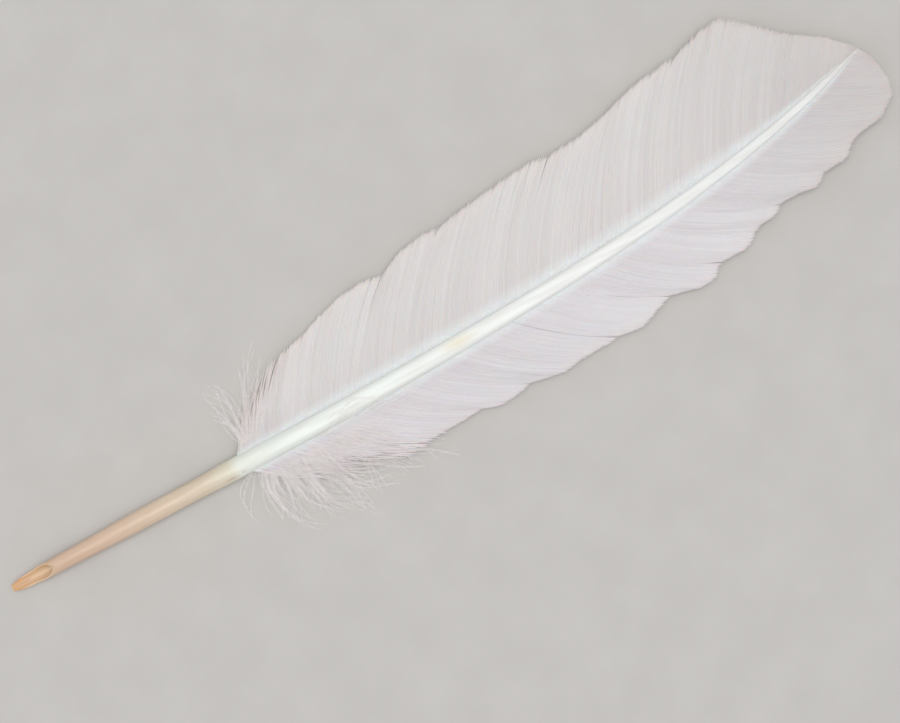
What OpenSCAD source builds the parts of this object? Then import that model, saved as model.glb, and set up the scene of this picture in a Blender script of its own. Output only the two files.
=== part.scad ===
// Quill pen: a goose flight feather whose hollow barrel is cut to a slit writing nib.
// It lies on its back. X runs from the nib to the feather's end, Y toward the wide vane, Z up.
// The origin is under the middle of the whole pen, at the level it rests on.

/* [Barrel] */
// distance from the nib's end to the start of the vanes
barrel_len = 77; // [68:1:90]
// outer radius of the straight grip
grip_r = 3.0; // [2.6:0.05:3.6]
// distance from the nib's end to the straight grip
grip_start = 40; // [34:1:46]
// length of the straight grip
grip_len = 22; // [15:1:24]
// thickness of the horn wall
wall = 0.45; // [0.35:0.05:0.7]
// outer radius of the tube at the nib's end
nib_r = 1.95; // [1.6:0.05:2.4]
// outer radius of the swelling just before the vanes
swell_r = 3.3; // [3.1:0.05:4]

/* [Nib] */
// length of the writing slit
slit_len = 6; // [4:0.5:9]
// width of the slit when the nib is unloaded
slit_gap = 0.12; // [0.06:0.02:0.3]
// width of the blunt writing edge
nib_tip_w = 1.8; // [0.8:0.1:2.4]
// distance from the nib's end to the top of the scoop cut
scoop_len = 16.5; // [13:0.5:24]

/* [Shaft] */
// distance from the nib's end to the end of the shaft
shaft_len = 297; // [250:1:330]
// width of the shaft at its far end
shaft_end_w = 1.9; // [0.8:0.1:2.5]
// height of the shaft at its far end
shaft_end_h = 1.4; // [0.8:0.1:2.5]
// thickness of the shaft's horn skin
skin = 0.3; // [0.25:0.05:0.6]
// depth of the groove along the top of the shaft
groove = 0.3; // [0:0.05:0.6]
// sideways bend over the whole vane that builds up evenly
bow_early = 11.1; // [0:0.1:20]
// sideways bend gathered toward the feather's end
bow_late = 11.4; // [0:0.1:20]
// height the feather's end is lifted off the table
end_rise = 3.5; // [0:0.1:8]

/* [Vanes] */
// thickness of the barbs beside the shaft
barb_root_t = 0.6; // [0.4:0.05:1]
// thickness of the barbs at the vane's edge
barb_tip_t = 0.2; // [0.15:0.05:0.5]
// height of the vane's middle line over the table
vane_low = 0.75; // [0.6:0.05:2]
// lift of the vane's edge above its middle line
edge_lift = 1.6; // [0:0.1:5]
// bend of each barb toward the feather's end, as a share of its length
barb_bow = 0.045; // [0:0.005:0.1]
// width at the edge of the parting between two webs
parting = 0.9; // [0.2:0.1:3]
// how far each web's corners are rounded back, as a share of its width
scallop = 0.03; // [0:0.01:0.2]
// thickness of the down
down_t = 0.5; // [0.3:0.05:1]

/* [Hidden] */
$fn = 72;

touch = 0.02;           // working gap between pieces that are grown together
tine_root_gap = 0.05;   // gap between a tine and the barrel it bends from
axis_z = swell_r;       // height of the barrel's axis: the swelling rests on the table
vane_len = shaft_len - barrel_len;

// Each key barb is [distance of its root along the pen, x of its tip, y of its tip].
// They are measured from the nib's end and from the barrel's axis.
WIDE_BARBS = [
    [78, 86, 14.5], [84, 97, 21.5], [96, 112, 25.8], [106, 125, 29.9], [112.5, 134, 31.1],
    [118, 141, 30], [124, 148, 33.4], [135, 159, 35], [137.5, 162.5, 34.6], [150, 175, 36.4],
    [170, 195, 38.5], [176, 201, 37.8], [185, 210, 38], [195, 221, 40.2], [203.5, 228.5, 43.1],
    [222, 247.5, 46], [233, 259, 49.1], [239, 263.5, 49.7], [242, 266, 48.3], [255, 274.4, 41.2],
    [270, 283, 34.8], [282, 289.5, 30.1], [290, 294.5, 25.3], [296.5, 297.6, 21.9]
];
NARROW_BARBS = [
    [80, 98, -15], [92, 115, -19.6], [102, 127, -20.6], [112, 138, -19.6], [122, 148.5, -19.2],
    [127, 153.5, -21], [138.5, 165, -19.4], [148.5, 175, -21.1], [154, 180, -20.3],
    [168, 194, -19.6], [176, 202, -20.2], [182, 208, -17.6], [187, 213.5, -16], [196, 223, -18.3],
    [201, 227.5, -17.6], [205, 231.5, -14.3], [213.5, 240, -14.5], [219, 246, -10.1],
    [225, 252, -9.8], [228, 255, -7.3], [235, 262, -7.4], [240, 266.5, -8.3], [246, 271.5, -5.4],
    [254, 278.5, -5], [259, 283, -0.4], [268, 293, 1], [278, 299.2, 5.5], [286, 300, 10.5],
    [296.5, 299.4, 18.6]
];
// Root distances at which the vanes are parted into webs.
WIDE_SPLITS = [78, 96, 118, 137.5, 176, 203.5, 222, 296.5];
NARROW_SPLITS = [80, 104, 122, 138.5, 168, 187, 205, 228, 246, 296.5];

// Strands of down, in the same form as the key barbs.
DOWN_WIDE = [[77.6, 72, 21], [79, 77, 26], [80.4, 82, 28], [81.8, 87, 30], [83.2, 92, 30]];
DOWN_NARROW = [
    [77.6, 70, -16], [78.6, 72, -21], [79.6, 77, -25], [81, 82, -27], [83, 87, -26],
    [85, 92, -30], [87, 97, -28], [89, 103, -32], [91, 109, -34.5]
];
DOWN_NARROW_OUTER = [[94, 113, -31], [97.5, 119, -29], [101, 125, -28.5], [104, 131, -25]];
DOWN_LOOSE = [[98, 108, 2.6], [103, 115, 0.5], [107, 120, 2.2], [112, 127, 0.2], [117, 133, 1.6]];

// The pen's extent from the nib's end and the barrel's axis, used to centre it on the origin.
x_max = farthest(web_barbs(9, NARROW_SPLITS, NARROW_BARBS, -1), 0);
y_min = -farthest([for (b = tuft_barbs(DOWN_NARROW, -1, 0.5, 0)) -b], 1);
y_max = max(farthest(web_barbs(6, WIDE_SPLITS, WIDE_BARBS, 1), 1),
            farthest(web_barbs(7, WIDE_SPLITS, WIDE_BARBS, 1), 1));
function farthest(barbs, axis) = max([for (b = barbs) for (p = b) p[axis]]);

// ---- the shaft's line and size at distance s along the pen ----

function along(s) = max(0, (s - barrel_len) / vane_len);
function shaft_y(s) = bow_early * pow(along(s), 2) + bow_late * pow(along(s), 5);
function shaft_z(s) = end_rise * pow(along(s), 3);
function shaft_turn(s) = atan2(shaft_y(s + 0.5) - shaft_y(s - 0.5), 1);
function shaft_w(s) = 2 * swell_r - (2 * swell_r - shaft_end_w) * pow(along(s), 1.9) - 0.5 * squareness(s);
function shaft_h(s) = 2 * swell_r - (2 * swell_r - shaft_end_h) * pow(along(s), 1.3);
// 0 where the shaft is still round like the barrel, 1 where it has its own squarer section
function squareness(s) = min(1, (s - barrel_len) / 25);

// Radius of the tube at distance x from the nib's end.
TUBE = [
    [0, nib_r], [15, 2.42], [26, 2.6], [grip_start, grip_r], [grip_start + grip_len, grip_r],
    [barrel_len - 5, swell_r], [barrel_len, swell_r]
];
function tube_r(x) = lookup(x, TUBE);

// Puts a shape drawn about the barrel's axis, nib's end at x = 0, into its resting place.
module place() {
    translate([-x_max / 2, -(y_min + y_max) / 2, 0]) children();
}

// ---- barrel and nib ----

// Horn tube between two distances from the nib's end, open at both ends.
module tube(from, to) {
    inside = [for (p = TUBE) if (p[0] > from && p[0] < to) p];
    line = concat([[from, tube_r(from)]], inside, [[to, tube_r(to)]]);
    outer = [for (p = line) [p[1], p[0]]];
    inner = [for (i = [len(line) - 1:-1:0]) [line[i][1] - wall, line[i][0]]];
    translate([0, 0, axis_z]) rotate([0, 90, 0]) rotate_extrude() polygon(concat(outer, inner));
}

// Side view of what the knife takes off above the nib.
module scoop_cut() {
    low = axis_z - nib_r / 2;
    top = 2 * axis_z;
    rotate([90, 0, 0]) linear_extrude(4 * swell_r, center = true) polygon([
        [-1, low - 0.05], [7.5, low + 0.1], [9.6, low + 0.6], [11.5, low + 1.5],
        [scoop_len, top], [-1, top]
    ]);
}

// Plan of the nib between its two shoulder cuts, widening into the whole barrel.
module shoulder_plan() {
    half = [[0, nib_tip_w / 2], [1.8, 1.5], [4.5, 1.85], [9, 2.5], [11, 4], [barrel_len + 1, 4]];
    other = [for (i = [len(half) - 1:-1:0]) [half[i][0], -half[i][1]]];
    translate([0, 0, -1]) linear_extrude(2 * axis_z + 2) polygon(concat(half, other));
}

module barrel() {
    color("#dccdb8") place() intersection() {
        difference() {
            tube(slit_len, barrel_len);
            scoop_cut();
        }
        shoulder_plan();
    }
}

// One tine of the nib: side is 1 toward the wide vane and -1 toward the narrow one.
module nib_tine(side) {
    color("#d9b07c") place() intersection() {
        difference() {
            tube(0, slit_len - tine_root_gap);
            scoop_cut();
        }
        shoulder_plan();
        translate([0, side * (slit_gap / 2 + 5), axis_z]) cube([3 * slit_len, 10, 20], center = true);
    }
}

// Dried cap that closes the top of the hollow, cupped toward the nib.
module umbilicus_plug() {
    r = swell_r - wall - touch;
    color("#c9b28c") place() translate([barrel_len - 4.5, 0, axis_z]) rotate([0, 90, 0])
        rotate_extrude() polygon([[0, 1.6], [r * 0.75, 0.6], [r, 0], [r, 4.5], [0, 4.5]]);
}

// ---- shaft ----

// Section of the shaft at distance s, drawn in by "inset" all round: a ring of points.
function shaft_ring(s, inset) =
    let (a = shaft_w(s) / 2 - inset, h = shaft_h(s) / 2 - inset, q = squareness(s), n = 20)
    let (power = 1 - 0.3 * q, turn = shaft_turn(s), mid = shaft_z(s) + shaft_h(s) / 2)
    [for (i = [0:n - 1])
        let (c = cos(360 * i / n), d = sin(360 * i / n))
        let (v = a * sign(c) * pow(abs(c), power))
        let (dip = d > 0 ? groove * q * exp(-pow(v / (0.3 * a), 2)) * (inset > 0 ? 0.6 : 1) : 0)
        let (w = h * sign(d) * pow(abs(d), power) - min(dip, 0.25 * h))
        [s - v * sin(turn), shaft_y(s) + v * cos(turn), mid + w]];

STATIONS = [for (k = [0:28]) barrel_len + touch + (vane_len - touch) * k / 28];

// Closed solid through a row of rings.
module loft(rings) {
    m = len(rings);
    n = len(rings[0]);
    points = [for (r = rings) each r];
    sides = [for (k = [0:m - 2]) for (i = [0:n - 1])
        let (a = k * n + i, b = k * n + (i + 1) % n)
        each [[a, b + n, b], [a, a + n, b + n]]];
    caps = [[for (i = [0:n - 1]) i], [for (i = [n - 1:-1:0]) (m - 1) * n + i]];
    polyhedron(points, concat(sides, caps));
}

module rachis_cortex() {
    color("#f1f4ea") place() difference() {
        loft([for (s = STATIONS) shaft_ring(s, 0)]);
        loft([for (s = [for (k = STATIONS) k == STATIONS[0] ? k - 1 : k == STATIONS[28] ? k + 1 : k])
            shaft_ring(s, skin)]);
    }
}

module rachis_pith() {
    color("#fbfbf7") place() loft([for (s = STATIONS) shaft_ring(s, skin + touch)]);
}

// ---- vanes and down ----

function key(s, keys, which) = lookup(s, [for (k = keys) [k[0], k[which]]]);

// Where a barb rooted at s leaves the side of the shaft; side is 1 for the wide vane, -1 for the narrow.
function barb_root(s, side) =
    let (turn = shaft_turn(s), v = side * (shaft_w(s) / 2 + 2 * touch))
    [s - v * sin(turn), shaft_y(s) + v * cos(turn)];

// Height of the vane's middle surface, u = 0 at the shaft to u = 1 at the edge.
function vane_z(s, u) =
    shaft_z(s) + vane_low * (1 - 0.3 * along(s))
    + max(0, 0.32 * shaft_h(s) - vane_low) * pow(1 - u, 3) + edge_lift * pow(u, 2.5);

// Points along one barb from its root to its tip; reach is how much of its length it keeps, slide
// shifts its tip along x.
function barb(s, keys, side, reach, slide) =
    let (root = barb_root(s, side))
    let (span = [key(s, keys, 1) + slide, key(s, keys, 2)] - root)
    let (bulge = barb_bow * 4 * side * [-span[1], span[0]])
    [for (k = [0:5])
        let (u = reach * k / 5, p = root + span * u + bulge * u * (1 - u))
        [p[0], p[1], vane_z(s, u)]];

// Thin solid through a row of barbs, t_root thick beside the shaft and t_tip thick at the edge.
module web(barbs, side, t_root, t_tip) {
    m = len(barbs);
    n = len(barbs[0]);
    function t(j) = (t_root + (t_tip - t_root) * j / (n - 1)) / 2;
    top = [for (b = barbs) for (j = [0:n - 1]) b[j] + [0, 0, t(j)]];
    low = [for (b = barbs) for (j = [0:n - 1]) b[j] - [0, 0, t(j)]];
    flat = [for (i = [0:m - 2]) for (j = [0:n - 2])
        let (a = i * n + j)
        each [[a, a + 1, a + n + 1], [a, a + n + 1, a + n]]];
    under = [for (f = flat) [f[2] + m * n, f[1] + m * n, f[0] + m * n]];
    round = concat(
        [for (j = [0:n - 1]) j], [for (i = [1:m - 1]) i * n + n - 1],
        [for (j = [n - 2:-1:0]) (m - 1) * n + j], [for (i = [m - 2:-1:1]) i * n]);
    rim = [for (k = [0:len(round) - 1])
        let (a = round[k], b = round[(k + 1) % len(round)])
        each [[b, a, a + m * n], [b, a + m * n, b + m * n]]];
    faces = concat(flat, under, rim);
    polyhedron(concat(top, low), side > 0 ? faces : [for (f = faces) [f[2], f[1], f[0]]]);
}

// The barbs of web number i of a vane, slightly shorter at the web's two corners. The last web
// has only its first corner.
function web_barbs(i, splits, keys, side) =
    let (from = splits[i - 1] + touch, to = splits[i] - touch, last = i == len(splits) - 1)
    let (steps = round((to - from) / 3))
    [for (k = [0:steps])
        let (f = k / steps, corner = last && f > 0.5 ? 0 : pow(abs(2 * f - 1), 6))
        let (reach = 1 - scallop * corner * (side > 0 ? 0.5 : 1))
        barb(from + (to - from) * f, keys, side, reach, parting * max(0.5 - f, last ? 0 : -1))];

module vane_web(i, splits, keys, side) {
    color(side > 0 ? "#ece6e4" : "#e8ebee") place()
        web(web_barbs(i, splits, keys, side), side, barb_root_t, barb_tip_t);
}

// The barbs of a fringed tuft of down: long at the keys, and only "back" of that between them.
function tuft_barbs(keys, side, back, lift) =
    [for (k = [0:2 * len(keys) - 2])
        let (s = (keys[floor(k / 2)][0] + keys[ceil(k / 2)][0]) / 2)
        [for (p = barb(s, keys, side, k % 2 == 0 ? 1 : back, 0)) p + [0, 0, lift]]];

module tuft(keys, side, back, lift) {
    color("#f3efec") place() web(tuft_barbs(keys, side, back, lift), side, down_t, 0.6 * down_t);
}

// Loose wisps from the narrow side, lying over the shaft.
module down_loose() {
    keys = DOWN_LOOSE;
    barbs = [for (k = [0:2 * len(keys) - 2])
        let (a = keys[floor(k / 2)], b = keys[ceil(k / 2)], mid = (a + b) / 2)
        let (root = [mid[0], -shaft_w(mid[0]) / 2 + 0.4], reach = k % 2 == 0 ? 1 : 0.5)
        [for (u = [0:0.2:1]) let (p = root + ([mid[1], mid[2]] - root) * u * reach)
            [p[0], p[1], shaft_h(p[0]) + 0.25 + 0.6 * u]]];
    color("#f3efec") place() web(barbs, 1, 0.6 * down_t, 0.4 * down_t);
}

barrel();
nib_tine(1);  // nib_tine_left
nib_tine(-1);  // nib_tine_right
umbilicus_plug();
rachis_cortex();
rachis_pith();
vane_web(1, WIDE_SPLITS, WIDE_BARBS, 1);  // vane_wide_1
vane_web(2, WIDE_SPLITS, WIDE_BARBS, 1);  // vane_wide_2
vane_web(3, WIDE_SPLITS, WIDE_BARBS, 1);  // vane_wide_3
vane_web(4, WIDE_SPLITS, WIDE_BARBS, 1);  // vane_wide_4
vane_web(5, WIDE_SPLITS, WIDE_BARBS, 1);  // vane_wide_5
vane_web(6, WIDE_SPLITS, WIDE_BARBS, 1);  // vane_wide_6
vane_web(7, WIDE_SPLITS, WIDE_BARBS, 1);  // vane_wide_7
vane_web(1, NARROW_SPLITS, NARROW_BARBS, -1);  // vane_narrow_1
vane_web(2, NARROW_SPLITS, NARROW_BARBS, -1);  // vane_narrow_2
vane_web(3, NARROW_SPLITS, NARROW_BARBS, -1);  // vane_narrow_3
vane_web(4, NARROW_SPLITS, NARROW_BARBS, -1);  // vane_narrow_4
vane_web(5, NARROW_SPLITS, NARROW_BARBS, -1);  // vane_narrow_5
vane_web(6, NARROW_SPLITS, NARROW_BARBS, -1);  // vane_narrow_6
vane_web(7, NARROW_SPLITS, NARROW_BARBS, -1);  // vane_narrow_7
vane_web(8, NARROW_SPLITS, NARROW_BARBS, -1);  // vane_narrow_8
vane_web(9, NARROW_SPLITS, NARROW_BARBS, -1);  // vane_narrow_9
tuft(DOWN_WIDE, 1, 0.5, 1.3);  // down_wide
tuft(DOWN_NARROW, -1, 0.5, 1.4);  // down_narrow
tuft(DOWN_NARROW_OUTER, -1, 0.55, 2.2);  // down_narrow_outer
down_loose();
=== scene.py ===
"""A goose quill pen lying on its back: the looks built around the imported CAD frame.

Shapes are worked out in millimetres in the pen's own axes: x from the nib's end along the barrel,
y from the barrel's axis toward the wide vane, z up from the surface it lies on. add_piece() turns
them into metres in the CAD frame.
"""

import math

import bmesh
import bpy
import numpy as np
from mathutils import Matrix, Vector


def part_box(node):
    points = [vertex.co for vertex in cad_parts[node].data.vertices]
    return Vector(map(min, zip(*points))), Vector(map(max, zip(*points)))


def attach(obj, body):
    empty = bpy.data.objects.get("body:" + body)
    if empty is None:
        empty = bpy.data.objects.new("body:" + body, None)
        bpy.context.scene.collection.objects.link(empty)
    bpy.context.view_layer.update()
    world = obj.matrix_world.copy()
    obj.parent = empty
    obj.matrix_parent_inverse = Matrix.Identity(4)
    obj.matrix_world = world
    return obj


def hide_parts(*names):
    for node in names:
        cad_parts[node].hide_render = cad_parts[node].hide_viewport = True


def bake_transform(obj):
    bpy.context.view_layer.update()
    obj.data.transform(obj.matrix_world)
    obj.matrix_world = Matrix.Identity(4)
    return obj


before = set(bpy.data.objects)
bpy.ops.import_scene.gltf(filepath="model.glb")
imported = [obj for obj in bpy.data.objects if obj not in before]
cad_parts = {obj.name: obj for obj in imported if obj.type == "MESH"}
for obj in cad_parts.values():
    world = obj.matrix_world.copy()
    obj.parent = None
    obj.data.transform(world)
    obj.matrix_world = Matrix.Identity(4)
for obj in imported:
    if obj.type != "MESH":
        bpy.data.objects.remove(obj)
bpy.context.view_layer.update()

MM = 0.001
NIB_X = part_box("nib_tine_left")[0][0]
AXIS_Y = (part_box("barrel")[0][1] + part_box("barrel")[1][1]) / 2

# ---------------------------------------------------------------- sizes, as in the CAD source

BARREL_LEN = 77.0
SHAFT_LEN = 297.0
VANE_LEN = SHAFT_LEN - BARREL_LEN
WALL = 0.45
NIB_R = 1.95
SWELL_R = 3.3
AXIS_Z = SWELL_R
TUBE_X = [0, 15, 26, 40, 62, 72, 77]
TUBE_R = [NIB_R, 2.42, 2.6, 3.0, 3.0, SWELL_R, SWELL_R]

SLIT_LEN = 6.0
SLIT_GAP = 0.12
SCOOP_X = [-1, 7.5, 9.6, 11.5, 16.5]
SCOOP_Z = [2.275, 2.425, 2.925, 3.825, 2 * AXIS_Z]
PLAN_X = [0, 1.8, 4.5, 9, 11]
PLAN_W = [0.9, 1.5, 1.85, 2.5, 4]

SHAFT_END_W = 1.9
SHAFT_END_H = 1.4
SKIN = 0.3
BOW_EARLY = 11.1
BOW_LATE = 11.4
END_RISE = 3.5
GROOVE = 0.3

BARB_BOW = 0.045
VANE_LOW = 0.75
EDGE_LIFT = 1.6

# Key barbs of each vane: distance of the root along the pen, then x and y of the tip. Only the last
# ones differ from the CAD's: they round the feather's end off a little further in.
WIDE_BARBS = np.array([
    (78, 86, 14.5), (84, 97, 21.5), (96, 112, 25.8), (106, 125, 29.9), (112.5, 134, 31.1),
    (118, 141, 30), (124, 148, 33.4), (135, 159, 35), (137.5, 162.5, 34.6), (150, 175, 36.4),
    (170, 195, 38.5), (176, 201, 37.8), (185, 210, 38), (195, 221, 40.2), (203.5, 228.5, 43.1),
    (222, 247.5, 46), (233, 259, 49.1), (239, 263.5, 49.7), (242, 266, 48.3), (255, 274.4, 41.2),
    (270, 283, 34.8), (282, 289.5, 30.1), (290, 294.1, 25), (296.5, 297.2, 21.5),
])
NARROW_BARBS = np.array([
    (80, 98, -15), (92, 115, -19.6), (102, 127, -20.6), (112, 138, -19.6), (122, 148.5, -19.2),
    (127, 153.5, -21), (138.5, 165, -19.4), (148.5, 175, -21.1), (154, 180, -20.3),
    (168, 194, -19.6), (176, 202, -20.2), (182, 208, -17.6), (187, 213.5, -16), (196, 223, -18.3),
    (201, 227.5, -17.6), (205, 231.5, -14.3), (213.5, 240, -14.5), (219, 246, -10.1),
    (225, 252, -9.8), (228, 255, -7.3), (235, 262, -7.4), (240, 266.5, -8.3), (246, 271.5, -5.4),
    (254, 278.5, -5), (259, 283, -0.4), (268, 293, 1), (278, 299.2, 5.5), (286, 300, 10.5),
    (296.5, 298.4, 19.2),
])
WIDE_SPLITS = np.array([78, 96, 118, 137.5, 176, 203.5, 222, 296.5])
NARROW_SPLITS = np.array([80, 104, 122, 138.5, 168, 187, 205, 228, 246, 296.5])


# ---------------------------------------------------------------- the shaft's line and size


def along(s):
    """How far s is up the vane: 0 at the barrel's top, 1 at the shaft's end."""
    return np.maximum(0, (np.asarray(s, float) - BARREL_LEN) / VANE_LEN)


def shaft_y(s):
    """The sideways bend of the shaft's middle line."""
    return BOW_EARLY * along(s) ** 2 + BOW_LATE * along(s) ** 5


def shaft_z(s):
    """The height of the shaft's underside."""
    return END_RISE * along(s) ** 3


def shaft_turn(s):
    """The direction of the shaft's middle line, as an angle from x toward y."""
    return np.arctan2(shaft_y(np.asarray(s) + 0.5) - shaft_y(np.asarray(s) - 0.5), 1.0)


def squareness(s):
    """0 where the shaft is still round like the barrel, 1 where it has its own squarer section."""
    return np.clip((np.asarray(s, float) - BARREL_LEN) / 25, 0, 1)


def shaft_w(s):
    """The shaft's full width."""
    taper = (2 * SWELL_R - SHAFT_END_W) * along(s) ** 1.9
    return 2 * SWELL_R - taper - 0.5 * squareness(s)


def shaft_h(s):
    """The shaft's full height."""
    return 2 * SWELL_R - (2 * SWELL_R - SHAFT_END_H) * along(s) ** 1.3


def end_taper(s):
    """The shaft's last few millimetres run out to a thread, as a share of its full size."""
    return np.interp(s, [283, 292, 296, 297], [1, 0.6, 0.25, 0.1])


def tube_r(x):
    """The barrel's outer radius."""
    return np.interp(x, TUBE_X, TUBE_R)


# ---------------------------------------------------------------- small helpers


def smoothstep(t):
    """0 below 0, 1 above 1 and an even S between."""
    t = np.clip(t, 0, 1)
    return t * t * (3 - 2 * t)


NOISE_VALUES = 2000
NOISE_START = 500


def wobble(x, pitch, seed):
    """Smooth noise between -1 and 1 that changes over about one pitch."""
    values = np.random.default_rng(seed).uniform(-1, 1, NOISE_VALUES)
    t = np.asarray(x, float) / pitch + NOISE_START
    i = np.floor(t).astype(int)
    f = smoothstep(t - i)
    return values[i % NOISE_VALUES] * (1 - f) + values[(i + 1) % NOISE_VALUES] * f


def rounded(s, keys, column):
    """A key column at s, with its corners rounded over about 3 mm."""
    steps = np.linspace(-1.5, 1.5, 9)
    return np.mean([np.interp(s + d, keys[:, 0], keys[:, column]) for d in steps], axis=0)


def weld(mesh):
    """Joins points that lie on each other, and turns every face outward."""
    made = bmesh.new()
    made.from_mesh(mesh)
    bmesh.ops.remove_doubles(made, verts=made.verts, dist=MM / 1000)
    bmesh.ops.recalc_face_normals(made, faces=made.faces)
    made.to_mesh(mesh)
    made.free()


def add_piece(
    name, points, faces, material, node, attributes, body="quill", smooth=True, crease=0, bend=None
):
    """Makes a mesh piece from pen-frame millimetres, in the place of a CAD node and on its body. crease
    welds it and keeps edges sharp above that angle; with bend given, the piece goes on no body and
    its place is baked into its points, and the two points in bend are not used."""
    mesh = bpy.data.meshes.new(name)
    points = np.asarray(points, float) * MM + np.array([NIB_X, AXIS_Y, 0])
    mesh.from_pydata(points.tolist(), [], faces)
    for key, values in attributes.items():
        layer = mesh.attributes.new(key, "FLOAT", "POINT")
        layer.data.foreach_set("value", np.asarray(values, np.float32))
    if smooth:
        mesh.polygons.foreach_set("use_smooth", [True] * len(mesh.polygons))
    mesh.materials.append(material)
    mesh.validate()
    if crease:
        weld(mesh)
        mesh.set_sharp_from_angle(angle=math.radians(crease))
    piece = bpy.data.objects.new(name, mesh)
    bpy.context.scene.collection.objects.link(piece)
    if bend:
        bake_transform(piece)
    else:
        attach(piece, body)
    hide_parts(node)


def grid_faces(rows, columns, first=0, closed=False, flip=False):
    """Quads over a rows x columns grid of points; closed joins the last column to the first."""
    made = []
    for i in range(rows - 1):
        for j in range(columns if closed else columns - 1):
            a = first + i * columns + j
            b = first + i * columns + (j + 1) % columns
            quad = (a, b, b + columns, a + columns)
            made.append(quad[::-1] if flip else quad)
    return made


# ---------------------------------------------------------------- materials


class Look:
    """A material with short calls for its nodes. A value is a number, a colour or another's output."""

    def __init__(self, name):
        self.material = bpy.data.materials.new(name)
        self.material.use_nodes = True
        self.tree = self.material.node_tree
        self.shader = self.tree.nodes["Principled BSDF"]

    def node(self, kind, inputs, **settings):
        """Adds a node of a kind, with its settings, and feeds its inputs."""
        made = self.tree.nodes.new(kind)
        for key, value in settings.items():
            setattr(made, key, value)
        for key, value in inputs.items():
            self.feed(made.inputs[key], value)
        return made

    def feed(self, socket, value):
        """Links an output to a socket, or sets the socket to a constant."""
        if isinstance(value, bpy.types.NodeSocket):
            self.tree.links.new(value, socket)
        else:
            socket.default_value = value

    def set(self, **values):
        """Sets the shader's own inputs; an underline stands for a space in their names."""
        for key, value in values.items():
            self.feed(self.shader.inputs[key.replace("_", " ")], value)

    def position(self, stretch=(1, 1, 1)):
        """The place on the object, in metres; a stretch below 1 draws a pattern out along that axis."""
        place = self.node("ShaderNodeTexCoord", {}).outputs["Object"]
        return self.node("ShaderNodeMapping", {"Vector": place, "Scale": stretch}).outputs["Vector"]

    def along_pen(self, start, end, to_low=0.0, to_high=1.0):
        """A value that changes evenly between two distances from the nib's end."""
        x = self.node("ShaderNodeSeparateXYZ", {"Vector": self.position()}).outputs["X"]
        return self.span(x, NIB_X + start * MM, NIB_X + end * MM, to_low, to_high)

    def noise(self, scale, stretch=(1, 1, 1), detail=3.0):
        """Cloudy noise with that many lumps to the metre."""
        vector = self.position(stretch)
        inputs = {"Vector": vector, "Scale": scale, "Detail": detail, "Roughness": 0.55}
        return self.node("ShaderNodeTexNoise", inputs).outputs["Fac"]

    def attribute(self, name):
        """A value that add_piece() stored on the mesh's points."""
        return self.node("ShaderNodeAttribute", {}, attribute_name=name).outputs["Fac"]

    def span(self, value, low, high, to_low=0.0, to_high=1.0):
        """Moves the range low to high onto to_low to to_high, and clamps what is outside."""
        inputs = {"Value": value, "From Min": low, "From Max": high, "To Min": to_low, "To Max": to_high}
        return self.node("ShaderNodeMapRange", inputs).outputs["Result"]

    def ramp(self, value, stops):
        """Blends through a list of (value, colour) stops."""
        made = self.node("ShaderNodeValToRGB", {"Fac": value})
        bar = made.color_ramp.elements
        while len(bar) < len(stops):
            bar.new(0.5)
        for element, (place, colour) in zip(bar, stops):
            element.position = place
            element.color = (*colour, 1)
        return made.outputs["Color"]

    def mix(self, factor, a, b, blend="MIX"):
        """Colour a at factor 0 and colour b, or their blend, at factor 1."""
        made = self.node("ShaderNodeMix", {}, data_type="RGBA", blend_type=blend)
        for key, value in ((0, factor), (6, a), (7, b)):  # the places of its colour sockets
            if isinstance(value, tuple):
                value = (*value, 1)
            self.feed(made.inputs[key], value)
        return made.outputs[2]

    def bump(self, height, distance, strength, under=None):
        """A bumpy normal, on top of another one if it is given."""
        inputs = {"Height": height, "Distance": distance, "Strength": strength}
        if under is not None:
            inputs["Normal"] = under
        return self.node("ShaderNodeBump", inputs).outputs["Normal"]


def horn_look(name, stops, start, end, roughness, translucent, depth):
    """Satin horn whose colour changes along the pen from start to end, with fine streaks that run
    lengthways. translucent is how much light goes into it, and depth how far, in millimetres."""
    look = Look(name)
    colour = look.ramp(look.along_pen(start, end), stops)
    streaks = look.noise(900, (0.06, 1, 1), detail=4)
    colour = look.mix(look.span(streaks, 0.35, 0.7, 0.0, 0.22), colour, (0.62, 0.50, 0.36), "MULTIPLY")
    clouds = look.noise(120, (0.5, 1, 1))
    colour = look.mix(look.span(clouds, 0.4, 0.75, 0.0, 0.2), colour, (0.84, 0.80, 0.72))
    colour = look.mix(look.attribute("stain"), colour, (0.42, 0.13, 0.08))
    colour = look.mix(look.attribute("honey"), colour, (0.80, 0.66, 0.36))
    scrape = look.noise(2600, (0.03, 1, 1), detail=2)
    normal = look.bump(scrape, 0.03 * MM, 0.5, look.bump(clouds, 0.2 * MM, 0.4))
    rough = look.span(streaks, 0.3, 0.7, roughness - 0.08, roughness + 0.12)
    look.set(Base_Color=colour, Roughness=rough, Normal=normal)
    look.set(Subsurface_Weight=translucent, Subsurface_Scale=depth * MM, IOR=1.54)
    look.shader.inputs["Subsurface Radius"].default_value = (1.0, 0.9, 0.8)
    return look.material


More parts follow.
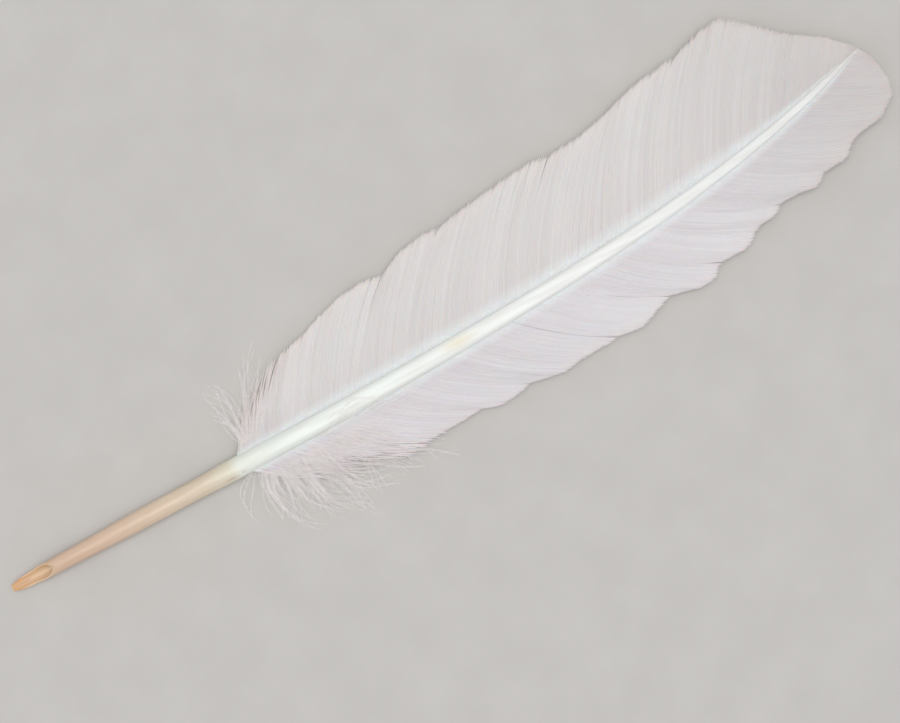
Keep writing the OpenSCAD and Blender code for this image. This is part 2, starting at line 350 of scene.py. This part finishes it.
def barb_look(name, pale, deep, tip, inside, root):
    """Silky barbs, each with its own tone, with painted light on their roots where they leave the shaft,
    against the shade beside it; the web is thinner and duller toward the feather's end. inside is how
    much light goes into them, root how strongly the painted light whitens their roots."""
    look = Look(name)
    colour = look.mix(look.attribute("tone"), deep, pale)
    colour = look.mix(look.span(look.attribute("reach"), 0.75, 1.0, 0.0, 0.5), colour, tip)
    colour = look.mix(look.along_pen(235, 300, 0.0, 0.75), colour, (0.65, 0.58, 0.57))
    # Painted light: the first eighth of each barb is whitened, to offset the shade in the crevice beside
    # the shaft.
    colour = look.mix(look.span(look.attribute("reach"), 0.0, 0.12, root, 0.0), colour, (0.98, 0.97, 0.97))
    colour = look.mix(look.span(look.noise(160, detail=4), 0.4, 0.8, 0.0, 0.25), colour, deep)
    fibre = look.bump(look.noise(5000, detail=2), 0.02 * MM, 0.35)
    look.set(Base_Color=colour, Roughness=0.62, Normal=fibre, IOR=1.5)
    look.set(Subsurface_Weight=inside, Subsurface_Scale=0.6 * MM, Sheen_Weight=0.15, Sheen_Roughness=0.4)
    return look.material


def foam_look(name, pale, deep):
    """Dry, cellular stuff inside the barrel and the shaft."""
    look = Look(name)
    cells = look.node("ShaderNodeTexVoronoi", {"Vector": look.position(), "Scale": 1800})
    fade = look.span(cells.outputs["Distance"], 0.0, 0.6)
    normal = look.bump(cells.outputs["Distance"], 0.1 * MM, 0.6)
    look.set(Base_Color=look.mix(fade, deep, pale), Roughness=0.85, Normal=normal)
    return look.material


# NIB_TAN, where the horn's colour starts at the nib's end, is partly the horn's own tan and partly a
# painted orange reflection.
NIB_TAN = (0.74, 0.41, 0.17)
JOINT_WHITE = (0.82, 0.87, 0.80)
BARREL_HORN = horn_look(
    "barrel horn",
    [(0.0, NIB_TAN), (0.10, (0.70, 0.44, 0.27)), (0.2, (0.67, 0.46, 0.33)),
     (0.5, (0.71, 0.53, 0.40)), (0.85, (0.71, 0.60, 0.46)), (0.96, (0.74, 0.70, 0.57)),
     (1.0, JOINT_WHITE)],
    start=0, end=BARREL_LEN, roughness=0.36, translucent=0.1, depth=0.5)
NIB_HORN = horn_look(
    "nib horn", [(0.0, NIB_TAN), (1.0, (0.71, 0.433, 0.248))],
    start=0, end=SLIT_LEN, roughness=0.36, translucent=0.1, depth=0.5)
SHAFT_HORN = horn_look(
    "shaft horn",
    [(0.0, JOINT_WHITE), (0.05, (0.82, 0.88, 0.85)), (0.5, (0.86, 0.89, 0.89)),
     (0.9, (0.84, 0.86, 0.86)), (1.0, (0.70, 0.67, 0.66))],
    start=BARREL_LEN, end=SHAFT_LEN, roughness=0.42, translucent=0, depth=0.5)
WIDE_BARB = barb_look(
    "wide vane barbs", pale=(0.87, 0.77, 0.76), deep=(0.79, 0.695, 0.685), tip=(0.86, 0.76, 0.74),
    inside=0.25, root=0.8)
NARROW_BARB = barb_look(
    "narrow vane barbs", pale=(0.885, 0.79, 0.81), deep=(0.80, 0.705, 0.72), tip=(0.86, 0.76, 0.76),
    inside=0.25, root=0.8)
DOWN_LOOK = barb_look(
    "down", pale=(0.97, 0.94, 0.93), deep=(0.88, 0.83, 0.82), tip=(0.96, 0.92, 0.90), inside=0, root=0)
PITH_FOAM = foam_look("pith foam", pale=(0.90, 0.90, 0.86), deep=(0.78, 0.77, 0.70))

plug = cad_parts["umbilicus_plug"].data
plug.materials.clear()
plug.materials.append(foam_look("plug foam", pale=(0.62, 0.48, 0.30), deep=(0.42, 0.28, 0.15)))


# ---------------------------------------------------------------- barrel and nib


def cut_angle(x, r):
    """Half the angle of wall, from its underside, that the knife leaves at x on a tube of radius r:
    what is below the scoop's cut and within the shoulders."""
    height = AXIS_Z - np.interp(x, SCOOP_X, SCOOP_Z)
    scoop = np.arccos(np.clip(height / r, -1, 1))
    width = np.interp(x, PLAN_X, PLAN_W)
    shoulder = np.where(width < r, np.arcsin(np.clip(width / r, 0, 1)), np.pi)
    return np.minimum(scoop, shoulder)


def wall_limit(xs, r):
    """cut_angle with its corners rounded by a running mean, up to where the scoop's last rise begins."""
    raw = cut_angle(xs, r)
    spread = 3
    padded = np.pad(raw, spread, mode="edge")
    soft = np.convolve(padded, np.ones(2 * spread + 1) / (2 * spread + 1), "valid")
    return raw + (soft - raw) * np.clip(SCOOP_X[-2] + 1 - xs, 0, 1)


def tube_shell(xs, low_share, high_share, columns, slit=0.0):
    """Outer and inner wall of the horn tube at xs, over part of the angle the knife leaves there.
    low_share and high_share run from -1 to 1; slit keeps the wall that far off the middle line."""
    points = []
    share = np.linspace(low_share, high_share, columns)[None, :]
    for inset in (0.0, WALL):
        r = tube_r(xs) - inset
        limit = wall_limit(xs, r)[:, None]
        hold = np.sign(low_share + high_share) * np.arcsin(slit / r)[:, None]
        angle = hold + share * (limit - abs(hold))
        dents = 0.02 * wobble(xs[:, None] + 40 * np.cos(angle), 3.0, 3) * (inset == 0)
        dents = dents * smoothstep((BARREL_LEN - xs[:, None]) / 4)
        radius = r[:, None] + dents
        x = np.repeat(xs[:, None], columns, 1)
        points.append(np.stack([x, radius * np.sin(angle), AXIS_Z - radius * np.cos(angle)], -1))
    rows = len(xs)
    count = rows * columns
    faces = grid_faces(rows, columns) + grid_faces(rows, columns, count, flip=True)
    open_row = wall_limit(xs, tube_r(xs)) < np.pi - 1e-6
    for i in range(rows - 1):
        if open_row[i] or slit:
            a, b = i * columns, (i + 1) * columns
            faces.append((a, b, b + count, a + count))
            a, b = a + columns - 1, b + columns - 1
            faces.append((b, a, a + count, b + count))
    for j in range(columns - 1):
        faces.append((j + 1, j, j + count, j + 1 + count))
        k = (rows - 1) * columns + j
        faces.append((k, k + 1, k + 1 + count, k + count))
    return np.concatenate([p.reshape(-1, 3) for p in points]), faces


def spot(points, centre, size):
    """1 at the centre and 0 outside an ellipsoid of that half size."""
    distance = np.linalg.norm((points - np.array(centre)) / np.array(size), axis=1)
    return smoothstep(1 - distance)


def yellower_round_scoop(points):
    """The horn is a little yellower round the scoop."""
    return 0.35 * spot(points, (12, 0, 3), (10, 4, 4))


def build_barrel():
    """The tube from the slit's root to the vanes; the stations are closest where the scoop runs out."""
    close_from, close_to = 13.9, 15.1
    xs = np.concatenate([
        np.arange(SLIT_LEN, close_from, 0.14), np.arange(close_from, close_to, 0.03),
        np.linspace(close_to, BARREL_LEN, 140),
    ])
    points, faces = tube_shell(xs, -1, 1, columns=97)
    scar = spot(points, (73.3, -2.2, 5.7), (3.4, 0.55, 1.2))
    add_piece(
        "quill_barrel", points, faces, BARREL_HORN, "barrel",
        {"stain": 0.4 * scar, "honey": yellower_round_scoop(points)}, crease=35)


def build_tines():
    """The two halves of the nib."""
    xs = np.concatenate([[0.0, 0.03, 0.08], np.linspace(0.16, SLIT_LEN, 50)])
    flexing = [(NIB_X + x * MM, AXIS_Y, AXIS_Z * MM) for x in (SLIT_LEN, SLIT_LEN / 2)]
    for word, low, high in (("left", 0.0, 1.0), ("right", -1.0, 0.0)):
        points, faces = tube_shell(xs, low, high, columns=22, slit=SLIT_GAP / 2)
        # The nib's end is tinted reddish brown and a little yellower, most at its underside.
        nib_end_tint = 0.15 * spot(points, (0, 0, 1.5), (2.2, 3, 2))
        add_piece(
            "quill_tine_" + word, points, faces, NIB_HORN, "nib_tine_" + word,
            {"stain": nib_end_tint, "honey": nib_end_tint + yellower_round_scoop(points)},
            body="tine_" + word, crease=35, bend=flexing)


build_barrel()
build_tines()


# ---------------------------------------------------------------- shaft


def shaft_surface(stations, close, inset=0.0):
    """The shaft as rings of points, square-shouldered with a shallow groove along its top. close is
    each ring's share of its full size, and inset draws the whole surface in. Across each ring v is
    the place sideways and w the place upwards, from its middle."""
    angle = np.linspace(0, 2 * np.pi, 48, endpoint=False)
    c, d = np.cos(angle)[None, :], np.sin(angle)[None, :]
    s = stations[:, None]
    q = squareness(s)
    power = 1 - 0.3 * q
    half = shaft_w(s) / 2 - inset
    v = half * np.sign(c) * np.abs(c) ** power
    dip = np.where(d > 0, GROOVE * q * np.exp(-((v / (0.3 * half)) ** 2)), 0)
    dip = np.minimum(dip, 0.12 * shaft_h(s)) * (1 + 0.3 * wobble(s, 9, 21))
    w = (shaft_h(s) / 2 - inset) * np.sign(d) * np.abs(d) ** power - dip
    ripple = 0.03 * wobble(s + 30 * c, 6, 22) * q
    v, w = v * close[:, None] * (1 + ripple / half), w * close[:, None]
    turn = shaft_turn(s)
    x = s - v * np.sin(turn)
    y = shaft_y(s) + v * np.cos(turn)
    z = shaft_z(s) + shaft_h(s) / 2 + w
    points = np.stack([x, y, z], -1)
    rows, columns = points.shape[:2]
    faces = grid_faces(rows, columns, closed=True, flip=True)
    faces.append(tuple(range(columns)))
    last = (rows - 1) * columns
    faces.append(tuple(range(last + columns - 1, last - 1, -1)))
    return points.reshape(-1, 3), faces


def build_shaft():
    """The horn skin, which starts just inside the barrel's top and runs out to a thread."""
    slip_in = [BARREL_LEN - 0.8, BARREL_LEN - 0.4, BARREL_LEN - 0.1]
    stations = np.concatenate([
        slip_in, np.linspace(BARREL_LEN, SHAFT_LEN - 1.4, 420), [SHAFT_LEN - 1.1, SHAFT_LEN - 0.8],
    ])
    close = np.interp(stations, [*slip_in, BARREL_LEN], [0.9, 0.985, 0.998, 1]) * end_taper(stations)
    points, faces = shaft_surface(stations, close)
    add_piece(
        "feather_shaft", points, faces, SHAFT_HORN, "rachis_cortex",
        {"stain": 0.4 * spot(points, (77.5, -1.9, 5.6), (1.8, 0.5, 1.5)),
         "honey": 0.45 * spot(points, (151, 1.8, 4.6), (9, 2.6, 3))}, crease=70)


def build_pith():
    """The foam core, which ends inside the shaft where that has become a thread."""
    stations = np.linspace(BARREL_LEN + 0.1, SHAFT_LEN - 6, 160)
    points, faces = shaft_surface(stations, end_taper(stations), inset=SKIN)
    add_piece("shaft_pith", points, faces, PITH_FOAM, "rachis_pith", {}, crease=70)


build_shaft()
build_pith()


# ---------------------------------------------------------------- vanes

BARB_PITCH = 0.42  # between the roots of two barbs
STEPS = 19  # points along a barb
SHARES = np.append(np.linspace(0, 0.975, STEPS - 1), 1)[None, :]  # their places, closest at its end
RIDGE = 0.15  # height of a blade's ridge at its root
BLADE_CAP = 0.33  # half the greatest width of a blade
MIN_Z = 0.12  # no barb or strand comes closer to the table
ROOT_HEIGHT = 0.66  # where the barbs leave the shaft, as a share of its height
CUT_FROM, CUT_OVER = 252, 12  # where far_cut sets in, and over what length
STRAIGHT_FROM, STRAIGHT_OVER = 262, 15  # where the barbs' own bend fades

# What differs between the two vanes. gaps scales the partings, far_cut shortens the barbs near the
# feather's end, and the barbs are loose at the base: up to a distance, fading over a length, swaying
# so many millimetres. No barb is rooted beyond last_root.
VANES = {
    "wide": dict(
        side=1, keys=WIDE_BARBS, splits=WIDE_SPLITS, material=WIDE_BARB, gaps=0.6, far_cut=0.035,
        loose_to=93, loose_fade=15, sway=0.5, last_root=294.9),
    "narrow": dict(
        side=-1, keys=NARROW_BARBS, splits=NARROW_SPLITS, material=NARROW_BARB, gaps=1.0, far_cut=0,
        loose_to=112, loose_fade=29, sway=0.75, last_root=SHAFT_LEN),
}


def vane_z(s, u):
    """The vane's height at the share u of the barb rooted at s: it droops from high on the shaft's
    side to its low middle line, and lifts again toward the edge."""
    droop = np.maximum(0, ROOT_HEIGHT * shaft_h(s) - VANE_LOW) * (1 - u) ** 4
    return shaft_z(s) + VANE_LOW * (1 - 0.3 * along(s)) + droop + EDGE_LIFT * u ** 2.5


def partings(vane, rng):
    """Where the barbs part: (root distance, gap at the tip, share of the length it runs down)."""
    splits, gaps = vane["splits"], vane["gaps"]
    found = [(s, gaps * rng.uniform(0.2, 0.6), rng.uniform(0.1, 0.25)) for s in splits[1:-1]]
    for low, high in zip(splits[:-1], splits[1:]):
        for _ in range(int((high - low) / 6)):
            at = rng.uniform(low + 2, high - 2)
            found.append((at, gaps * rng.uniform(0.05, 0.4), rng.uniform(0.05, 0.22)))
    return found


def barb_ends(vane, s, f, last, loose, seed, rng):
    """Where each barb starts, inside the shaft's side, and where it ends: a little unevenly, just past
    the line through the key barbs, and less far at a web's corners."""
    turn = shaft_turn(s)
    off = vane["side"] * np.maximum(shaft_w(s) / 2 * end_taper(s) - 0.12, 0.02)
    root = np.stack([s - off * np.sin(turn), shaft_y(s) + off * np.cos(turn)], -1)
    tip = np.stack([rounded(s, vane["keys"], 1), rounded(s, vane["keys"], 2)], -1)
    reach = 1.012 + 0.006 * rng.standard_normal(len(s)) + 0.006 * wobble(s, 2.5, seed + 1)
    reach = reach - vane["far_cut"] * smoothstep((s - CUT_FROM) / CUT_OVER)
    reach = reach + 0.25 * loose * rng.uniform(-1, 0.7, len(s))
    web_corner = 0.02 * np.abs(2 * f - 1) ** 8
    reach = reach - np.where(last & (f > 0.5), 0, web_corner)
    return root, root + (tip - root) * reach[:, None]


def barb_heights(s, web, f, last, loose, seed, rng):
    """Heights along the barbs: the vane's own form, then the webs' slight overlap, and then each
    barb's own unevenness, which is large only where they are loose."""
    u = SHARES
    z = vane_z(s[:, None], u)
    z = z + 0.35 * wobble(7.3 * web + 0.2 * f, 1, seed + 3)[:, None] * u ** 2
    z = z + (0.28 * (f - 0.5) * np.where(last, 0, 1))[:, None] * u ** 2
    z = z + 0.1 * wobble(s[:, None] + 3 * u, 4, seed + 4) * u
    z = z + 0.02 * rng.standard_normal(len(s))[:, None]
    z = z + loose[:, None] * u ** 2 * rng.uniform(0, 2.2, len(s))[:, None]
    return np.maximum(z, MIN_Z + 0.15)


def barb_lines(vane, seed):
    """Middle lines of all the barbs of one vane: roots s, the web each is in, points of shape
    (barbs, steps, 3), and how loose each is (1 for the downy barbs at the vane's base). u is a share
    of a barb's length, f a barb's place in its web from 0 to 1, and last marks the last web's."""
    rng = np.random.default_rng(seed)
    side, splits, u = vane["side"], vane["splits"], SHARES
    s = np.arange(splits[0], splits[-1], BARB_PITCH)
    s = s + rng.uniform(-0.06, 0.06, len(s))
    web = np.clip(np.searchsorted(splits, s, "right") - 1, 0, len(splits) - 2)
    f = (s - splits[web]) / (splits[web + 1] - splits[web])
    last = web == len(splits) - 2
    loose = np.clip((vane["loose_to"] - s) / vane["loose_fade"], 0, 1)
    root, tip = barb_ends(vane, s, f, last, loose, seed, rng)
    span = tip - root
    across = np.stack([-span[:, 1], span[:, 0]], -1)
    bow = BARB_BOW * (1 + 0.15 * wobble(s, 8, seed + 2))
    bow = bow * (1 - 0.7 * smoothstep((s - STRAIGHT_FROM) / STRAIGHT_OVER))
    bulge = (4 * side * bow)[:, None] * across
    xy = root[:, None] + span[:, None] * u[..., None] + bulge[:, None] * (u * (1 - u))[..., None]
    stiff = np.where(last & (f > 0.6), 0.2, 1)[:, None]
    for at, gap, depth in partings(vane, rng):
        push = np.sign(s - at) * gap / 2 * np.exp(-np.abs(s - at) / (0.8 + 1.6 * gap))
        xy[..., 0] += push[:, None] * smoothstep((u - 1 + depth) / depth) * stiff
    phase = rng.uniform(0, 6.28, len(s))[:, None]
    sway = (0.04 + vane["sway"] * loose[:, None] ** 2) * u ** 1.5 * np.sin(phase + 9 * u)
    away = -side * across / np.linalg.norm(span, axis=1)[:, None]
    xy = xy + away[:, None] * sway[..., None]
    z = barb_heights(s, web, f, last, loose, seed, rng)
    return s, web, np.concatenate([xy, z[..., None]], -1), loose


def ribbons(lines, side, loose, tone):
    """Closed blades along the barbs' middle lines, each as wide as the room to its neighbours, with a
    ridge along the top and edges that lap over the next one's. Loose barbs thin out to threads."""
    count, steps = lines.shape[:2]
    u = SHARES
    tangent = np.gradient(lines, axis=1)[..., :2]
    tangent /= np.linalg.norm(tangent, axis=2, keepdims=True)
    across = side * np.stack([tangent[..., 1], -tangent[..., 0]], -1)
    room = np.abs(np.sum((lines[1:, :, :2] - lines[:-1, :, :2]) * across[:-1], -1)) / 2
    before = np.concatenate([room[:1], room])
    after = np.concatenate([room, room[-1:]])
    cap = BLADE_CAP * (1 - 0.82 * smoothstep(1.3 * loose[:, None]) * u ** 0.8)
    narrow = 1 - 0.8 * smoothstep((u - 0.96) / 0.04)
    before = np.minimum(before * 1.12 + 0.015, cap) * narrow
    after = np.minimum(after * 1.12 + 0.015, cap) * narrow
    spine = np.minimum(0.09, 0.45 * np.minimum(before, after))
    ridge = RIDGE * (1 - 0.7 * u)
    flat = np.zeros_like(before)
    ring = [
        (-before, flat - 0.035), (-spine, flat), (flat, ridge), (spine, flat),
        (after, flat + 0.015), (after, flat - 0.03), (-before, flat - 0.08),
    ]
    points = []
    for shift, rise in ring:
        xy = lines[..., :2] + across * shift[..., None]
        points.append(np.concatenate([xy, (lines[..., 2] + rise)[..., None]], -1))
    points = np.stack(points, 2)
    sides = len(ring)
    quads = np.array(grid_faces(steps, sides, closed=True, flip=side < 0))
    starts = (np.arange(count) * steps * sides)[:, None, None]
    faces = (quads[None] + starts).reshape(-1, 4).tolist()
    for start in starts.ravel():
        root = list(range(start, start + sides))
        end = list(range(start + (steps - 1) * sides, start + steps * sides))
        faces += [root[::-1], end] if side > 0 else [root, end[::-1]]
    attributes = {
        "tone": np.repeat(tone, steps * sides),
        "reach": np.tile(np.repeat(SHARES[0], sides), count),
    }
    return points.reshape(-1, 3), faces, attributes


def build_vanes():
    """All the webs. Gives each side's loose barbs back: their lines, and how loose each is."""
    downy = {}
    for word, vane in VANES.items():
        side = vane["side"]
        s, web, lines, loose = barb_lines(vane, 40 + side)
        own = np.random.default_rng(61).standard_normal(len(s))
        tone = np.clip(0.55 + 0.3 * wobble(s, 5, 60 + side) + 0.25 * own, 0, 1)
        for i in range(len(vane["splits"]) - 1):
            mine = (web == i) & (s < vane["last_root"])
            points, faces, attributes = ribbons(lines[mine], side, loose[mine], tone[mine])
            add_piece(
                f"{word}_vane_web_{i + 1}", points, faces, vane["material"],
                f"vane_{word}_{i + 1}", attributes)
        downy[word] = lines[loose > 0.15], loose[loose > 0.15]
    return downy


downy = build_vanes()


# ---------------------------------------------------------------- down

FAN_STEPS = 26  # points along a strand
HAIR_PITCH = 0.07  # each such length of a strand has two hairs
HAIR_HALF = 0.01  # half a hair's width at its root
STEM = 0.03  # half a strand's width at its root


def fan(rng, side, clumps, each, roots, rim, shortest, curl, bow=0.0):
    """Middle lines of a fan of strands in clumps, rooted between two distances on one side of the
    shaft; their tips reach toward the curve through rim, the shortest only that share of the way.
    curl is how far they wave, in millimetres, and bow how far they all bend to their left, as a
    share of their length."""
    count = clumps * each
    clump = np.repeat(np.arange(clumps), each)

    def shared(spread, own):
        """One normally spread number per strand: partly its clump's, partly its own."""
        return (spread * rng.standard_normal(clumps))[clump] + own * rng.standard_normal(count)

    f = np.clip((clump + 0.5 + shared(0.15, 0.25)) / clumps, 0, 1)
    s = roots[0] + (roots[1] - roots[0]) * f
    rim = np.array(rim, float)
    places = np.linspace(0, 1, len(rim))
    root = np.stack([s, shaft_y(s) + side * (shaft_w(s) / 2 - 0.3)], -1)
    tip = np.stack([np.interp(f, places, rim[:, k]) for k in (0, 1)], -1)
    share = np.clip(rng.uniform(shortest, 1, clumps)[clump] + 0.08 * rng.standard_normal(count), 0.3, 1.05)
    tip = root + (tip - root) * share[:, None] + 0.9 * rng.standard_normal((count, 2))
    span = tip - root
    length = np.linalg.norm(span, axis=1)[:, None]
    u = np.linspace(0, 1, FAN_STEPS)[None, :]
    turns = np.abs(shared(0.3, 0.1) + 0.8)[:, None]
    phase = shared(3, 0.35)[:, None]
    swing = (bow + shared(0.13, 0.05))[:, None] * 4 * u * (1 - u)
    swing = swing + curl / length * u ** 1.5 * np.sin(2 * np.pi * turns * u + phase)
    across = np.stack([-span[:, 1], span[:, 0]], -1)
    xy = root[:, None] + span[:, None] * u[..., None] + across[:, None] * swing[..., None]
    rest_z = np.abs(shared(0.9, 0.4))[:, None] + 0.3
    z = 2.6 * (1 - u) + rest_z * u + 0.5 * u * np.sin(2 * np.pi * turns * u + 2 * phase)
    return np.concatenate([xy, np.maximum(z, 0.3)[..., None]], -1)


def stems(lines, thick):
    """A thin tapering square stem along each line."""
    count, steps = lines.shape[:2]
    _, across, up = directions(lines)
    radius = (thick * (1 - 0.75 * np.linspace(0, 1, steps)))[None, :, None]
    points = np.stack([lines + radius * r for r in (across, up, -across, -up)], 2)
    starts = (np.arange(count) * steps * 4)[:, None, None]
    faces = (np.array(grid_faces(steps, 4, closed=True))[None] + starts).reshape(-1, 4).tolist()
    for start in starts.ravel().tolist():
        faces.append((start + 3, start + 2, start + 1, start))
        faces.append(tuple(range(start + 4 * steps - 4, start + 4 * steps)))
    return points.reshape(-1, 3), faces, np.tile(np.repeat(np.linspace(0, 1, steps), 4), count)


def directions(lines):
    """Unit vectors along each line, level across it, and square to both."""
    tangent = np.gradient(lines, axis=1)
    tangent /= np.linalg.norm(tangent, axis=2, keepdims=True)
    across = np.stack([-tangent[..., 1], tangent[..., 0], 0 * tangent[..., 0]], -1)
    across /= np.linalg.norm(across, axis=2, keepdims=True)
    return tangent, across, np.cross(tangent, across)


def hairs(rng, lines, size, start):
    """Fine tapering hairs on both sides of each line, from the share "start" of its length outward."""
    steps = lines.shape[1]
    lengths = np.linalg.norm(np.diff(lines, axis=1), axis=2).sum(1)
    number = (lengths * (1 - start) / HAIR_PITCH).astype(int) * 2
    row = np.repeat(np.arange(len(lines)), number)
    at = start + (1 - start) * rng.uniform(0, 1, len(row))
    place = at * (steps - 1)
    i = np.minimum(place.astype(int), steps - 2)
    f = (place - i)[:, None]
    base = lines[row, i] * (1 - f) + lines[row, i + 1] * f
    tangent, across, up = (d[row, i] for d in directions(lines))
    way = np.where(rng.uniform(size=len(row)) < 0.5, -1, 1)[:, None]
    lean = rng.uniform(0.7, 1.45, len(row))[:, None]
    tilt = rng.uniform(-0.6, 0.6, len(row))[:, None]
    out = way * across * np.sin(lean) + tangent * np.cos(lean) + up * tilt
    out /= np.linalg.norm(out, axis=1, keepdims=True)
    reach = (size[row] * rng.uniform(0.45, 1.1, len(row)) * (1 - 0.7 * at))[:, None]
    wide = np.cross(out, up + 0.3 * across)
    wide /= np.linalg.norm(wide, axis=1, keepdims=True)
    points = np.stack([base - HAIR_HALF * wide, base + HAIR_HALF * wide, base + out * reach], 1)
    points[..., 2] = np.maximum(points[..., 2], MIN_Z)
    faces = np.arange(3 * len(row)).reshape(-1, 3).tolist()
    return points.reshape(-1, 3), faces, np.repeat(at, 3)


def add_down(name, node, groups, seed):
    """One piece of down; groups are (lines, stem radius or 0, hair length of each line, share of the
    line where its hairs start)."""
    rng = np.random.default_rng(seed)
    points, faces, reach = [], [], []
    for lines, thick, size, start in groups:
        made = [hairs(rng, lines, size, start)]
        if thick:
            made.append(stems(lines, thick))
        for p, f, r in made:
            first = sum(len(q) for q in points)
            faces += [tuple(first + k for k in face) for face in f]
            points.append(p)
            reach.append(r)
    points = np.concatenate(points)
    tone = np.clip(0.6 + 0.4 * wobble(points[:, 0] + 2 * points[:, 1], 1.2, seed), 0, 1)
    attributes = {"tone": tone, "reach": 0.5 * np.concatenate(reach)}
    add_piece(name, points, faces, DOWN_LOOK, node, attributes, smooth=False)


def fans(seed, side, *each):
    """The strands of several fans as one group for add_down."""
    rng = np.random.default_rng(seed)
    lines = np.concatenate([fan(rng, side, **one) for one in each])
    return lines, STEM, rng.uniform(1.0, 2.0, len(lines)), 0.03


def frayed(word):
    """The loose barbs of one vane as a group for add_down: hairs only, as they have blades already."""
    lines, loose = downy[word]
    return lines, 0, 0.9 * loose, 0.35


def build_down():
    """The tufts at the base: to the left and upright beside the wide vane, and in layers below the
    narrow one."""
    left = dict(
        clumps=4, each=4, roots=(80, 82), shortest=0.75, curl=1.0, bow=-0.1,
        rim=[(78.5, 15), (76.5, 22), (79, 27), (83, 26)])
    beside = dict(
        clumps=3, each=3, roots=(80, 83), shortest=0.6, curl=0.8, rim=[(85, 15), (88, 20), (91, 21)])
    upright = dict(
        clumps=5, each=2, roots=(80, 85), shortest=0.75, curl=0.8,
        rim=[(89, 24), (94, 30), (97, 31.5), (99, 29)])
    stray = dict(
        clumps=2, each=2, roots=(80, 81), shortest=0.8, curl=1.0, rim=[(70, -17), (76, -20)])
    lower = dict(
        clumps=13, each=4, roots=(82, 97), shortest=0.72, curl=1.6,
        rim=[(78.5, -20), (86, -26), (95, -31), (102, -34), (108, -35), (113, -31)])
    under = dict(
        clumps=12, each=4, roots=(83, 103), shortest=0.6, curl=1.3,
        rim=[(82.5, -11), (87, -17), (94, -23), (103, -27), (111, -26), (128, -26)])
    haze = dict(
        clumps=12, each=4, roots=(83, 104), shortest=0.4, curl=1.0,
        rim=[(83, -9), (86, -14), (93, -18), (102, -22), (110, -19)])
    outer = dict(
        clumps=10, each=3, roots=(96, 112), shortest=0.7, curl=1.3,
        rim=[(117, -28), (125, -28), (132, -27), (139, -25.5)])
    add_down("down_wide_tuft", "down_wide", [fans(71, 1, left, beside, upright), frayed("wide")], 72)
    add_down(
        "down_narrow_tuft", "down_narrow",
        [fans(73, -1, stray, lower, under, haze), frayed("narrow")], 74)
    add_down("down_narrow_outer_tuft", "down_narrow_outer", [fans(75, -1, outer)], 76)


def build_wisps():
    """A few loose strands that lie over the shaft and the start of the narrow vane."""
    lines = fan(
        np.random.default_rng(90), -1, clumps=7, each=4, roots=(96, 118), shortest=0.6, curl=1.0,
        rim=[(111, 0.5), (120, -2), (129, -1), (138, -2.6)])
    crown = 0.97 * shaft_h(lines[..., 0]) + shaft_z(lines[..., 0])
    rise = smoothstep(np.linspace(0, 1, FAN_STEPS) / 0.35)
    lines[..., 2] = 2.4 + (crown - 2.2) * rise + 0.15 * lines[..., 2]
    hair = np.full(len(lines), 0.5)
    add_down("down_loose_wisps", "down_loose", [(lines, 0.035, hair, 0.1)], 91)


build_down()
build_wisps()


# ---------------------------------------------------------------- floor, light and camera

floor_look = Look("pale floor")
grain = floor_look.span(floor_look.noise(60, detail=5), 0.3, 0.7)
pale = floor_look.mix(grain, (0.54, 0.525, 0.505), (0.57, 0.555, 0.535))
floor_look.set(Base_Color=pale, Roughness=0.9)
bpy.ops.mesh.primitive_plane_add(size=6, location=(0, 0, 0))
floor = bpy.context.object
floor.name = "floor"
floor.data.materials.append(floor_look.material)

bpy.context.scene.view_settings.view_transform = "Standard"
world = bpy.data.worlds.new("studio")
bpy.context.scene.world = world
world.use_nodes = True
sky = world.node_tree.nodes["Background"].inputs
sky["Color"].default_value = (1, 1, 1, 1)
sky["Strength"].default_value = 0.52

# The camera looks straight down, turned so that the barrel runs up to the right at this angle.
TILT = math.radians(28.3)
RIGHT = Vector((math.cos(TILT), -math.sin(TILT), 0))
UP = Vector((math.sin(TILT), math.cos(TILT), 0))
LENS = 70  # focal length and sensor width, in the camera's own millimetres
SENSOR = 36
FIELD = 267.3 * MM  # the width that the picture takes in
AIM = Vector((NIB_X + 146.4 * MM, AXIS_Y - 2.2 * MM, 2 * MM))


def area_light(name, towards, distance, size, power, colour):
    """A soft square light that faces the pen; towards is (right, up, height) as the camera sees it."""
    lamp = bpy.data.lights.new(name, "AREA")
    lamp.size = size
    lamp.energy = power
    lamp.color = colour
    made = bpy.data.objects.new(name, lamp)
    right, up, height = towards
    direction = (RIGHT * right + UP * up + Vector((0, 0, height))).normalized()
    made.location = direction * distance
    made.rotation_euler = direction.to_track_quat("Z", "Y").to_euler()
    bpy.context.scene.collection.objects.link(made)


area_light("key", (-0.06, 0.06, 1.2), distance=1.4, size=0.8, power=8.2, colour=(1.0, 0.99, 0.98))
area_light("fill", (0.3, -0.25, 1.2), distance=1.6, size=0.9, power=3.5, colour=(1.0, 1.0, 1.0))

camera = bpy.data.cameras.new("camera")
camera.lens = LENS
camera.sensor_width = SENSOR
camera_object = bpy.data.objects.new("camera", camera)
bpy.context.scene.collection.objects.link(camera_object)
turn = Matrix((RIGHT, UP, (0, 0, 1))).transposed().to_4x4()
distance = FIELD * LENS / SENSOR
camera_object.matrix_world = Matrix.Translation(AIM + Vector((0, 0, distance))) @ turn
camera.clip_start = 0.01
bpy.context.scene.camera = camera_object
